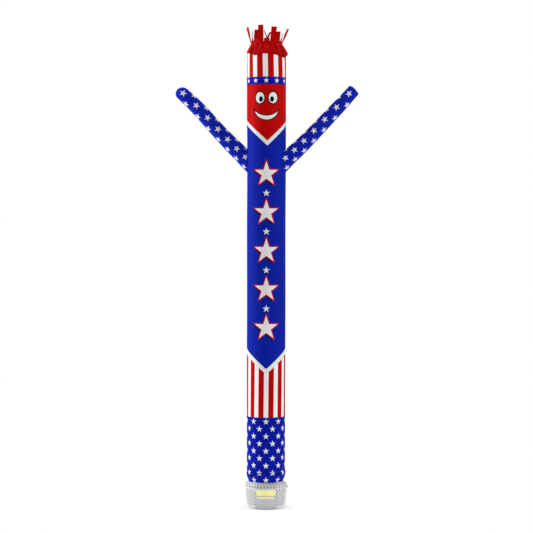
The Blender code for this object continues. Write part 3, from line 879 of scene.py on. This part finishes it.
class Sleeve:
    """A round sleeve about a line that bends a little, closed by a superellipse at the hand."""

    def __init__(self, root, hand, shoulder, wrist, squareness, end, rises):
        self.root = np.array(root)
        line = np.array(hand) - self.root
        self.length = float(np.linalg.norm(line))
        self.along = line / self.length
        across = np.cross(self.along, (0.0, 0.0, 1.0))
        self.across = across / np.linalg.norm(across)
        self.over = np.cross(self.across, self.along)
        self.shoulder, self.wrist, self.squareness = shoulder, wrist, squareness
        self.rises = rises
        self.end = wrist * end

    def radius(self, distance):
        """Straight taper from the shoulder to the hand, with a short flare at the root."""
        distance = np.maximum(0.0, distance)
        taper = self.shoulder + (self.wrist - self.shoulder) * distance / self.length
        return taper + 0.006 * np.exp(-distance / 0.05)

    def point(self, distance, radius, turn):
        """A point at a radius and turn about the line, which rises by one, two and three half
        waves of its length added together."""
        away = self.over * np.cos(turn)[..., None] + self.across * np.sin(turn)[..., None]
        swing = math.pi * np.clip(distance / self.length, 0.0, 1.0)
        rise = sum(most * np.sin(swing * (waves + 1)) for waves, most in enumerate(self.rises))
        middle = self.root + self.along * distance[..., None] + self.over * rise[..., None]
        return middle + away * radius[..., None]

    def root_distance(self, turn, inset):
        """Where the line along the sleeve at each turn leaves the tube's cloth: six rounds of
        solving the tube's circle for the distance at the height last reached."""
        distance = np.zeros_like(turn)
        for _ in range(6):
            start = self.point(np.zeros_like(turn), self.radius(distance) - inset, turn)
            height = start[..., 2] + self.along[2] * distance
            tube = tube_radius(height, 0.0 * turn) - SLEEVE_SUNK
            a = self.along[0] ** 2 + self.along[1] ** 2
            b = start[..., 0] * self.along[0] + start[..., 1] * self.along[1]
            c = start[..., 0] ** 2 + start[..., 1] ** 2 - tube ** 2
            distance = (-b + np.sqrt(b * b - a * c)) / a
        return distance

    def relief(self, distance, turn):
        """Puckers at the sewn hand and shoulder, and long soft dents between them."""
        from_hand = self.length - distance
        tip = np.cos(11 * turn + 0.5) + 0.6 * np.cos(17 * turn + 2.0)
        root = np.cos(13 * turn) + 0.6 * np.cos(21 * turn + 1.0)
        soft = np.sin(2 * turn + 9 * distance) + 0.6 * np.sin(3 * turn - 7 * distance + 1.0)
        relief = 0.0016 * tip * np.exp(-np.maximum(0.0, from_hand - 0.02) / 0.050)
        return relief + 0.0014 * root * np.exp(-np.maximum(0.0, distance) / 0.045) + 0.0010 * soft

    def wall(self, inset):
        """Rows from the slanted root to the closed hand; also each point's distance to the hand,
        its way around the sleeve in metres, and its turn."""
        turn = np.linspace(-math.pi, math.pi, ARM_AROUND + 1)
        start = self.root_distance(turn, inset)
        even = np.arange(FIRST_ROW, self.length - self.end - HAND_ROOM, ROW_SPACING)
        station = np.concatenate([SEAM_ROWS, even])[:, None]
        slanted = station + start * np.maximum(0.0, 1 - station / SLANTED)
        swing = np.linspace(0.0, math.pi / 2, END_ROWS)[:-1, None]
        power = 2 / self.squareness
        closing = self.length - self.end + (self.end - inset) * np.sin(swing) ** power + 0 * turn
        distance = np.concatenate([slanted, closing])
        narrowing = np.concatenate([0 * slanted + 1.0, np.cos(swing) ** power + 0 * turn])
        turns = np.broadcast_to(turn, distance.shape)
        radius = self.radius(distance) - inset + self.relief(distance, turns) * narrowing
        roll = 0.0015 * bell(distance - start - 0.006, 0.003)
        points = self.point(distance, radius * narrowing - roll, turns)
        return points, self.length - distance, turns * self.radius(distance) * narrowing, turns


def arm_print(finish):
    """Rows of stars along the sleeve, every other row moved on by half a star's space."""
    row_place, star_place = finish.print_map("stars")
    row_size, star_size = finish.print_map("star_sizes")
    row = row_place.rounded()
    onward = star_place + 0.5 * (row % 2.0)
    sideways = (row_place - row) * row_size
    towards_hand = (onward.rounded() - onward) * star_size
    shape = ink(star_distance(sideways, towards_hand), MIDDLE_STAR_RADIUS)
    return shape.mixed(SLEEVE_DYE, WHITE_DYE)


def sleeve_corners(grid):
    """A map's corners on the whole sleeve: the wall's inside from the hand, its outside back to
    the hand, and the fans of faces that close both."""
    both = np.concatenate([grid[::-1], grid])
    fans = []
    for row, first, second in ((both[0], slice(1, None), slice(None, -1)),
                               (both[-1], slice(None, -1), slice(1, None))):
        fans.append(np.stack([row[first], row[second], (row[:-1] + row[1:]) / 2], axis=1))
    return [loop_corners(both, False), *fans]


arm_nylon = nylon("sleeve_nylon", arm_print, 1.3)
for arm_name, *shape, front_row in ARMS:
    sleeve = Sleeve(*shape)
    outer, to_hand, girth, turns = sleeve.wall(0.0)
    inner = sleeve.wall(CLOTH)[0]
    wall = np.concatenate([inner[::-1], outer])[:, :-1]
    ends = [sleeve.point(np.array(sleeve.length - inset), np.array(0.0), np.array(0.0))[None]
            for inset in (CLOTH, 0.0)]
    points = np.concatenate([wall.reshape(-1, 3), *ends])
    column = np.arange(ARM_AROUND)
    onward = (column + 1) % ARM_AROUND
    last = (len(wall) - 1) * ARM_AROUND
    inner_fan = np.stack([onward, column, np.full(ARM_AROUND, len(points) - 2)], axis=-1)
    outer_fan = np.stack([last + column, last + onward, np.full(ARM_AROUND, len(points) - 1)], axis=-1)
    steps, full, first = STAR_COUNT
    star_index = -steps * np.log(1 - np.clip(to_hand, 0.0, FURTHEST) / full) + first
    star_pitch = STAR_PITCH - STAR_PITCH_FALL * to_hand
    star_radius = SLEEVE_STAR_RADIUS - SLEEVE_STAR_FALL * to_hand / SLEEVE_LENGTH
    rows_around = (np.degrees(turns) - front_row) / (360 / ARM_STAR_ROWS)
    row_pitch = 2 * math.pi / ARM_STAR_ROWS * sleeve.radius(sleeve.length - to_hand)
    maps = {
        "cloth": sleeve_corners(pair(girth, to_hand)),
        "stars": sleeve_corners(pair(rows_around, star_index)),
        "star_sizes": sleeve_corners(pair(row_pitch, star_pitch) / star_radius[..., None]),
    }
    arm = made_piece(arm_name + "_cloth", points,
                     [loop_faces(len(wall), ARM_AROUND, False), inner_fan, outer_fan], arm_nylon, maps)
    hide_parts(arm_name)

# SEAM STITCHES
# Lockstitched polyester thread in lines beside the seams around the tube, white on the white bands
# and dyed to match the blue and red cloth. It dips through the cloth at each stitch.
THREAD_RADIUS = 0.00045
STITCH = 0.0060
BESIDE_SEAM = 0.0052
STITCH_LIFT = 0.0002            # of the thread's middle line above the cloth
STITCH_DIP = 0.0008             # how far it rises and dips from there
HEM_STITCHES = 0.012            # from the hem's edge to its line of stitches


def thread_finish(name, dye):
    """Twisted thread: slanting bands of lighter and darker fibre along its own length."""
    finish = Finish(name, {"Specular IOR Level": 0.35, "Sheen Weight": 0.15})
    along, round_thread = finish.print_map("thread")
    band = (abs((along / 0.0012 + round_thread) % 1.0 - 0.5) * 2.0).clamped()
    darker = tuple(value * 0.55 for value in dye[:3]) + (1.0,)
    finish.feeds("Base Color", band.mixed(darker, dye))
    finish.feeds("Roughness", 0.55 + 0.2 * band)
    finish.relief([(band, 0.0001)])
    return finish.material


def stitch_line(seam, side):
    """A thread around the tube beside a seam: its middle line lies on the cloth, and rises and
    dips through it as a cosine once a stitch; a four-sided section is carried along it."""
    count = int(2 * math.pi * PRINT_RADIUS / STITCH)
    bearing = np.linspace(-math.pi, math.pi, count * 4 + 1)
    height = seam(bearing) + side * BESIDE_SEAM
    lift = STITCH_LIFT + STITCH_DIP * np.cos(count * bearing)
    turn = (np.arange(4) * math.pi / 2)[:, None]
    inset = -(lift + THREAD_RADIUS * np.cos(turn))
    points = tube_point(height + THREAD_RADIUS * np.sin(turn), bearing + 0 * turn,
                        np.full((4, len(bearing)), BESIDE_SEAM), inset)
    along = pair(bearing * PRINT_RADIUS, turn / (2 * math.pi))
    return points[:, :-1], loop_faces(4, len(bearing) - 1, True), loop_corners(along, True)


def sewn(name, dye, lines):
    """One piece of thread from all the lines of one colour."""
    threads = [stitch_line(seam, side) for seam, side in lines]
    points, faces = combined([thread[:2] for thread in threads])
    piece = made_piece(name, points, faces, thread_finish(name, dye),
                       {"thread": [thread[2] for thread in threads]}, sharp=80.0)


hem_line = level(HEM_HEIGHT + HEM_STITCHES)
band_low, band_high = level(BAND_SEAMS[0]), level(BAND_SEAMS[1])
sewn("white_seam_thread", (0.80, 0.80, 0.79, 1.0),
     [(lower_seams[0], 1), (lower_seams[1], -1), (upper_seams[0], 1), (upper_seams[1], -1)])
sewn("blue_seam_thread", (0.012, 0.025, 0.30, 1.0),
     [(hem_line, 1), (leg_seam, -1), (lower_seams[1], 1), (upper_seams[0], -1),
      (band_low, 1), (band_high, -1)])
sewn("red_seam_thread", (0.40, 0.012, 0.010, 1.0),
     [(upper_seams[1], 1), (band_low, -1), (band_high, 1)])

# BLOWER BODY
# A round moulded pot in pale grey plastic that stands on the ground. Its tapered side has rows of
# sunk round holes, with a ring of upright slots in its shoulder and a smooth plate at the front.
POT_FOOT = (                # radius, height, from the middle of the underside
    (0.0, 0.0), (0.1000, 0.0), (0.1900, 0.0), (0.2000, 0.0), (0.2065, 0.0015), (0.2120, 0.006),
)
POT_SIDE = (
    (0.2120, 0.006), (0.2165, 0.012), (0.2200, 0.020), (0.2245, 0.031), (0.2295, 0.048),
    (0.2535, 0.270), (0.2537, 0.277), (0.2530, 0.284), (0.2507, 0.2905), (0.2470, 0.296),
)
POT_NECK = (                # to the middle of the well
    (0.2420, 0.2995), (0.2340, 0.302), (0.2150, 0.302), (0.2110, 0.303), (0.2096, 0.306),
    (0.2095, 0.340), (0.2082, 0.3465), (0.2050, 0.350), (0.1985, 0.350), (0.1945, 0.347),
    (0.1930, 0.341), (0.1930, 0.060), (0.0800, 0.060), (0.0, 0.060),
)
HOLES_AROUND = 40
HOLE_ROWS = 9
HOLE_SIZE = (0.0105, 0.0088)        # half width and half height
SLOT_SIZE = (0.0082, 0.0195)
GRILLE_SPAN = (0.048, 0.2455)
SLOT_SPAN = (0.2500, 0.2940)
HOLE_DEPTH = 0.0060
CELL_SIDES = 8                      # points in each ring of a cell
CELL_RINGS = 5                      # with its outline and its middle
SMOOTH_FRONT = 31.0                 # degrees to each side of the front
PALE_FROM = 0.105                   # to each side of the middle, where the pot starts to go pale
PALE_SPREAD = 0.045


def pot_side(height):
    """The radius of the pot's side at a height."""
    radii, heights = np.array(POT_SIDE).T
    return np.interp(height, heights, radii)


def on_side(bearing, height, lift):
    """A point of the pot's side at a bearing and height, raised by a lift."""
    return around(pot_side(height) + lift, bearing, height)


def open_cells(span, rows, half_size, smooth_front):
    """Cells of a grille on the pot's side, each an oblong with one sunk hole: eight points on its
    outline, three rings of eight that go over the hole's rounded edge and down its wall, and its
    floor. Every other row is moved on by half a cell, so the outlines still meet, and the cells
    at the smooth front stay closed. Each point also has its share of the depth."""
    low, high = span
    cell_turn, cell_rise = 2 * math.pi / HOLES_AROUND, (high - low) / rows
    row = np.arange(rows)[:, None, None, None]
    column = np.arange(HOLES_AROUND)[None, :, None, None]
    corner_x = np.array([-0.5, 0.0, 0.5, 0.5, 0.5, 0.0, -0.5, -0.5])[None, None, None, :]
    corner_y = np.array([-0.5, -0.5, -0.5, 0.0, 0.5, 0.5, 0.5, 0.0])[None, None, None, :]
    turn = np.arctan2(corner_y, corner_x)
    size = np.array([1.0, 0.90, 0.88, 0.0])[None, None, :, None]
    wide = half_size[0] / (cell_turn * pot_side((low + high) / 2))
    tall = half_size[1] / cell_rise
    ring_x, ring_y = size * wide * np.cos(turn), size * tall * np.sin(turn)
    sunk = np.array([0.0, 0.0, 0.12, 1.0, 1.0])[None, None, :, None]
    middle = (column + 0.5 + 0.5 * (row % 2)) * cell_turn
    away = np.degrees((middle + math.pi) % (2 * math.pi) - math.pi)
    depth = sunk * (np.abs(away) > smooth_front) + 0 * corner_x
    bearing = middle + np.concatenate([corner_x, ring_x], axis=2) * cell_turn
    height = low + (row + 0.5 + np.concatenate([corner_y, ring_y], axis=2)) * cell_rise
    return on_side(bearing, height, -HOLE_DEPTH * depth), pair(depth, 0.0)


def cell_faces(count):
    """Corner numbers of each cell's rings, from its outline in to its middle."""
    ring = np.arange(CELL_RINGS - 1)[:, None] * CELL_SIDES
    step = np.arange(CELL_SIDES)[None, :]
    onward = (step + 1) % CELL_SIDES
    inner = ring + CELL_SIDES
    one = np.stack([ring + step, ring + onward, inner + onward, inner + step], axis=-1)
    return (np.arange(count) * CELL_RINGS * CELL_SIDES)[:, None, None] + one.reshape(1, -1, 4)


def pot_plastic(name, grey, roughness, holed=False):
    """Moulded plastic: a fine grain, slow drifts of tone, and painted shade that makes it darker
    towards the bottom. With holes in it, it has painted shade inside them and is paler at its sides."""
    finish = Finish(name, {"Specular IOR Level": 0.10})
    drift = finish.place.noise(0.11, 3.0)
    grain = finish.place.noise(0.0016, 2.0)
    height = finish.place.parts()[2]
    # Painted shade: darker towards the bottom, near the ground.
    foot_shade = (0.55 - height * 9.0).clamped() * (0.5 + 0.8 * drift).clamped()
    low, high, foot_shade_grey, pale, dark = ((grey * share, grey * share, grey * share * 1.03, 1.0)
                                   for share in (0.95, 1.05, 0.76, 1.28, 0.40))
    colour = foot_shade.mixed(drift.mixed(low, high), foot_shade_grey)
    # With holes, painted shade darkens their insides by the depth map, and the plastic is paler at the
    # sides.
    if holed:
        beside = ((abs(finish.place.parts()[0]) - PALE_FROM) / PALE_SPREAD).clamped()
        colour = finish.print_map("depth")[0].mixed(beside.mixed(colour, pale), dark)
    finish.feeds("Base Color", colour)
    finish.feeds("Roughness", roughness + 0.14 * drift)
    finish.relief([(drift, 0.0006), (grain, 0.00008)])
    return finish.material


side_bearings = math.pi * np.arange(2 * HOLES_AROUND) / HOLES_AROUND


def side_rings(low, high):
    """Rings of points round the pot's side from one height to another, in step with the cells,
    with one ring at each of the side's own bends in between."""
    bends = [height for _, height in POT_SIDE if low < height < high]
    heights = np.array([low, *bends, high])[:, None]
    return on_side(side_bearings, heights, 0.0)


pot_grids, pot_depths = [], []
for span, rows, half_size, smooth_front in ((GRILLE_SPAN, HOLE_ROWS, HOLE_SIZE, SMOOTH_FRONT),
                                            (SLOT_SPAN, 1, SLOT_SIZE, -1.0)):
    cells, depth = open_cells(span, rows, half_size, smooth_front)
    corners = cell_faces(HOLES_AROUND * rows)
    pot_grids.append((cells, corners))
    pot_depths.append(depth.reshape(-1, 2)[corners.reshape(-1)])
foot_rings, neck_rings = turned(POT_FOOT, side_bearings), turned(POT_NECK, side_bearings)
for rings in (np.concatenate([foot_rings, side_rings(POT_SIDE[0][1], GRILLE_SPAN[0])[1:]]),
              side_rings(GRILLE_SPAN[1], SLOT_SPAN[0]),
              np.concatenate([side_rings(SLOT_SPAN[1], POT_SIDE[-1][1]), neck_rings])):
    corners = loop_faces(len(rings), len(side_bearings), False)
    pot_grids.append((rings, corners))
    pot_depths.append(np.zeros((corners.size, 2)))
pot = made_piece("blower_body", *combined(pot_grids),
                 pot_plastic("pale_grey_moulding", grey=0.54, roughness=0.60, holed=True),
                 {"depth": pot_depths}, sharp=32.0, joined=True)
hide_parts("blower_housing")

# BLOWER LABELS
# Two blank pale yellow film labels stuck to the pot's smooth front plate, the lower one a narrow
# strip, with rounded corners.
PLATE_FRONT = 0.0003                # from the pot's side to a plate's front, less its thickness
PLATE_BACK = 0.0002                 # from the pot's side to its back
# bearing and half width in degrees, lower and upper edge, radius of the corners, thickness
FRONT_LABEL = (0.0, 26.9, 0.172, 0.242, 0.005, 0.0010)
LOWER_LABEL = (0.0, 23.9, 0.133, 0.154, 0.004, 0.0010)


def side_plate(name, place, finish, relief=None, mesh=(24, 14)):
    """A plate that lies on the pot's side: across and up from its middle, with its width drawn in
    near the top and bottom by the arc of each rounded corner, and its front edge rounded off. Its
    place is a row of numbers like FRONT_LABEL."""
    middle, half_turn, low, high, corner, thickness = place
    columns, rows = mesh
    half_wide, half_tall = math.radians(half_turn) * pot_side((low + high) / 2), (high - low) / 2
    shares = np.sin(np.linspace(-math.pi / 2, math.pi / 2, rows))[:, None]
    up = shares * half_tall
    over = np.clip(np.abs(up) - (half_tall - corner), 0.0, corner)
    half_row = half_wide - corner + np.sqrt(corner ** 2 - over ** 2)
    across = np.sin(np.linspace(-math.pi / 2, math.pi / 2, columns))[None, :] * half_row
    edge = np.minimum(half_row - np.abs(across), half_tall - np.abs(up))
    rounding = np.clip(1 - edge / (thickness * 0.8), 0.0, 1.0) ** 2 * thickness * 0.5
    bearing = math.radians(middle) + across / pot_side((low + high) / 2)
    height = (low + high) / 2 + up
    front = PLATE_FRONT + thickness - rounding
    if relief:
        front = front + relief(across, up)
    points = np.stack([on_side(bearing, height, front), on_side(bearing, height, PLATE_BACK)])
    corners = slab_faces(1, rows, columns)
    flat = np.broadcast_to(pair(across, up), (2, rows, columns, 2)).reshape(-1, 2)
    return made_piece(name, points, [corners], finish,
                      {"plate": [flat[corners.reshape(-1)]]}, sharp=35.0)


LABEL_YELLOW = (0.86, 0.82, 0.30, 1.0)
PALER_YELLOW = (0.92, 0.89, 0.40, 1.0)


def label_film(name):
    """Satin yellow vinyl whose tone and surface go with the unevenness of its glue and fine specks."""
    finish = Finish(name, {"Specular IOR Level": 0.5, "Coat Roughness": 0.25})
    glue = finish.place.noise(0.030, 2.0)
    speck = finish.place.noise(0.003, 1.0)
    finish.feeds("Base Color", (glue * 0.6 + speck * 0.4).mixed(LABEL_YELLOW, PALER_YELLOW))
    finish.feeds("Roughness", 0.30 + 0.12 * glue)
    finish.relief([(glue, 0.0004), (speck, 0.00004)])
    return finish.material


yellow_film = label_film("yellow_label_film")
front_label = side_plate("front_label_film", FRONT_LABEL, yellow_film)
lower_label = side_plate("lower_label_film", LOWER_LABEL, yellow_film)
for label, node in ((front_label, "front_label"), (lower_label, "lower_label")):
    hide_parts(node)

# SIDE BRACKET, KNOB AND PALE OVAL
# A thicker moulded plate on the pot's right side, stiffened by ribs, that carries a dark round switch
# knob; and a small pale oval plate raised on the front of the side at the left.
BRACKET = (86.0, 24.0, 0.050, 0.264, 0.014, 0.0080)         # the same numbers as for a label
PALE_OVAL = (-32.0, 1.7, 0.212, 0.246, 0.0070, 0.0030)
RIB_RISE = 0.0028
RIB_WIDTH = 0.004                   # half of it
UPRIGHT_RIBS = 0.062                # to each side of the plate's middle
LEVEL_RIB = 0.030                   # above its middle


def bracket_ribs(across, up):
    """Two upright ribs and one level one: bells of the distance from each rib's line."""
    upright = bell(np.abs(across) - UPRIGHT_RIBS, RIB_WIDTH)
    return RIB_RISE * np.maximum(upright, bell(up - LEVEL_RIB, RIB_WIDTH))


bracket = side_plate("side_bracket_plate", BRACKET,
                     pot_plastic("bracket_moulding", grey=0.70, roughness=0.50), bracket_ribs, (64, 60))
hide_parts("side_bracket")
pale_oval = side_plate("pale_oval_plate", PALE_OVAL, pot_plastic("pale_oval_plastic", grey=0.86, roughness=0.30),
                  mesh=(16, 24))

KNOB_PROFILE = (            # radius, out from the plate
    (0.0, 0.0), (0.0122, 0.0), (0.0124, 0.0008), (0.0122, 0.0052), (0.0112, 0.0068),
    (0.0094, 0.0074), (0.0, 0.0074),
)
KNOB_HEIGHT = 0.248
KNOB_TOP = 0.012                    # from its middle to where its plate stands furthest out
KNOB_STAND = 0.0083                 # its foot's distance from the pot's side
KNOB_GRIPS = 18
KNOB_SIDES = 72
knob_turn = 2 * math.pi * np.arange(KNOB_SIDES) / KNOB_SIDES
knob_radius, knob_out = (column[:, None] for column in np.array(KNOB_PROFILE).T)
knob_grip = 1 - 0.06 * np.cos(KNOB_GRIPS * knob_turn) * (knob_radius > 0.0100)
knob_points = np.stack([pot_side(KNOB_HEIGHT + KNOB_TOP) + KNOB_STAND + knob_out + 0 * knob_turn,
                        knob_radius * knob_grip * np.cos(knob_turn),
                        KNOB_HEIGHT + knob_radius * knob_grip * np.sin(knob_turn)], axis=-1)
knob = made_piece("switch_knob_cap", knob_points, [loop_faces(len(KNOB_PROFILE), KNOB_SIDES, False)],
                  pot_plastic("dark_knob_plastic", grey=0.025, roughness=0.45), sharp=35.0, joined=True)
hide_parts("switch_knob")

# FLOOR, LIGHT AND CAMERA
# A plain pale floor that glows evenly, with a painted shadow in a ring around the base; soft light from
# both sides and above; and the view of the photograph.
CAMERA_PLACE = (0.0075, -22.0, 3.4155)
CAMERA_AIM = 2.884
CAMERA_LENS = 124.45

FLOOR_RADIUS = 3.0
FLOOR_GLOW = 0.58
FLOOR_LEVEL = -0.0005
SHADED_RING = (0.20, 0.38)          # where the floor's shade beside the base starts, and its width
SHADE_SHIFT = 0.06                  # to the left
SHADE_TONE = (0.35, 0.35, 0.36, 1.0)
ROOM_LIGHT = 0.46
PURE_WHITE = (1.0, 1.0, 1.0, 1.0)

floor_turn = np.linspace(0.0, 2 * math.pi, 97)[:-1]
floor_points = np.stack([FLOOR_RADIUS * np.cos(floor_turn), FLOOR_RADIUS * np.sin(floor_turn),
                         0 * floor_turn + FLOOR_LEVEL], axis=-1)
floor_mesh = bpy.data.meshes.new("floor")
floor_mesh.from_pydata(floor_points.tolist(), [], [list(range(len(floor_points)))])
floor_finish = Finish("pale_floor", {"Specular IOR Level": 0.1, "Emission Strength": FLOOR_GLOW})
floor_tone = floor_finish.place.noise(0.8, 2.0)
floor_finish.feeds("Base Color", floor_tone.mixed((0.78, 0.78, 0.78, 1.0), (0.82, 0.82, 0.82, 1.0)))
floor_x, floor_y, _ = floor_finish.place.parts()
# Painted shadow: near the base the floor's glow goes towards grey, in a ring moved a little to the
# left.
floor_reach = reach(floor_x + SHADE_SHIFT, floor_y)
painted_base_shadow = (1.0 - (floor_reach - SHADED_RING[0]) / SHADED_RING[1]).clamped()
floor_finish.feeds("Emission Color", painted_base_shadow.mixed(PURE_WHITE, SHADE_TONE))
floor_finish.feeds("Roughness", 0.85 + 0.1 * floor_tone)
floor_mesh.materials.append(floor_finish.material)
floor = bpy.data.objects.new("floor", floor_mesh)
bpy.context.scene.collection.objects.link(floor)

world = bpy.data.worlds.new("studio")
world.use_nodes = True
bpy.context.scene.world = world
room = Signal(world.node_tree)
seen = room.node("ShaderNodeLightPath", {}, {})
glow = seen * (1.0 - ROOM_LIGHT) + ROOM_LIGHT
backdrop = room.node("ShaderNodeBackground", {}, {"Color": PURE_WHITE, "Strength": glow})
world.node_tree.links.new(backdrop.socket, world.node_tree.nodes["World Output"].inputs["Surface"])

LIGHTS = (                          # name, bearing, distance, height, width, length, power
    ("left_softbox", -95.0, 6.0, 4.7, 1.6, 7.4, 337.0),
    ("right_softbox", 72.0, 6.0, 4.7, 1.6, 7.4, 140.0),
)
CEILING_SIZE = 8.0
CEILING_POWER = 114.0
CEILING_HEIGHT = 7.2


def softbox(name, shape, size, power, place, tilt, turn):
    """A broad lamp that the camera doesn't see: tilted up about +X, then turned about +Z."""
    lamp = bpy.data.lights.new(name, "AREA")
    lamp.shape, lamp.energy = shape, power
    lamp.size, lamp.size_y = size
    stand = bpy.data.objects.new(name, lamp)
    stand.location = place
    stand.rotation_euler = (tilt, 0.0, turn)
    stand.visible_camera = False
    bpy.context.scene.collection.objects.link(stand)


for light_name, turn, distance, middle, wide, tall, power in LIGHTS:
    bearing = math.radians(turn)
    place = (distance * math.sin(bearing), -distance * math.cos(bearing), middle)
    softbox(light_name, "RECTANGLE", (wide, tall), power, place, math.pi / 2, bearing)
softbox("ceiling_softbox", "DISK", (CEILING_SIZE, CEILING_SIZE), CEILING_POWER,
        (0.0, 0.0, CEILING_HEIGHT), 0.0, 0.0)

camera = bpy.data.cameras.new("camera")
camera.sensor_width, camera.lens = 36.0, CAMERA_LENS
camera.clip_end = 200.0
viewer = bpy.data.objects.new("camera", camera)
viewer.location = CAMERA_PLACE
down = math.atan2(CAMERA_PLACE[2] - CAMERA_AIM, -CAMERA_PLACE[1])
viewer.rotation_euler = (math.pi / 2 - down, 0.0, 0.0)
bpy.context.scene.collection.objects.link(viewer)
bpy.context.scene.camera = viewer
bpy.context.scene.view_settings.view_transform = "Standard"
